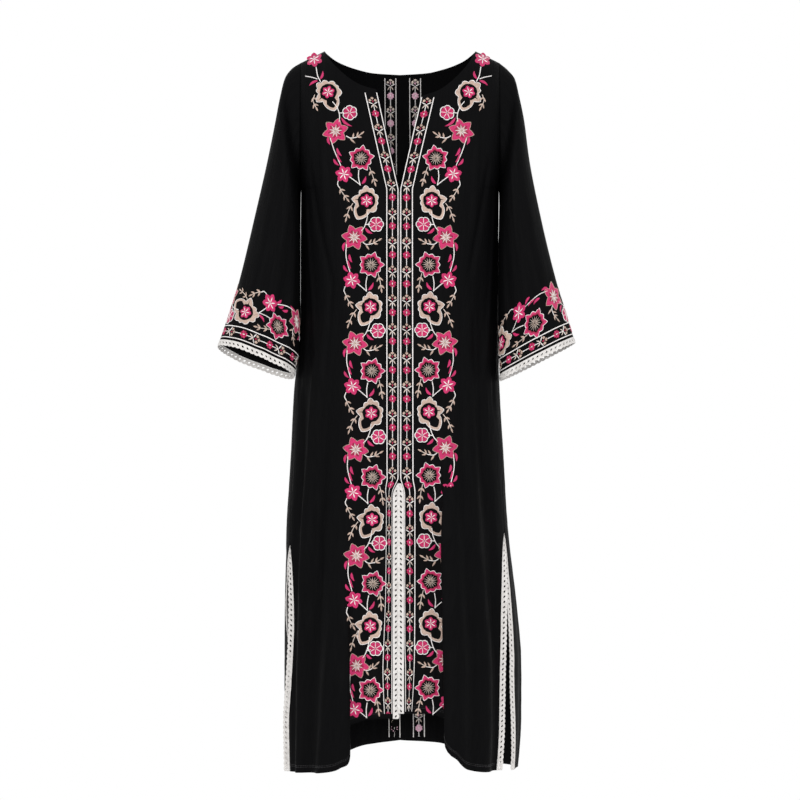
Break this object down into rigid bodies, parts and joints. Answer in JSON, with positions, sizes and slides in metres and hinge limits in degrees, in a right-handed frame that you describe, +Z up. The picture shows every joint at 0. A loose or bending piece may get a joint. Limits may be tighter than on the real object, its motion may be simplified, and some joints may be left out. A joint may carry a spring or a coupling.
{
  "type": "embroidered kaftan dress",
  "caption": "Long kaftan dress, hollow as when worn: slit neck, loose wide sleeves, open front and side slits, lace along cuffs and slits.",
  "frame": {"origin": "midway between the two points where the neckline meets the shoulder seams, where the wearer's shoulders hold the dress", "axes": "+Z up, the front faces -Y, +X to the viewer's right (the wearer's left)"},
  "size_m": [0.6384, 0.2627, 1.2915],
  "materials": {
    "cloth": "lightweight crinkled plain weave, near black, soft matte with a faint sheen on ridges",
    "lace": "white cotton crochet lace, matte",
    "embroidery": "satin-stitched rayon thread in hot pink, champagne and off-white, soft gloss"
  },
  "bodies": {
    "root": {"front_left": "cloth", "front_right": "cloth", "back": "cloth", "sleeve_left": "cloth", "sleeve_right": "cloth", "lace_cuff_left": "lace", "lace_cuff_right": "lace", "lace_front_slit_left": "lace", "lace_front_slit_right": "lace", "lace_side_front_left": "lace", "lace_side_front_right": "lace", "lace_side_back_left": "lace", "lace_side_back_right": "lace"}
  },
  "joints": []
}
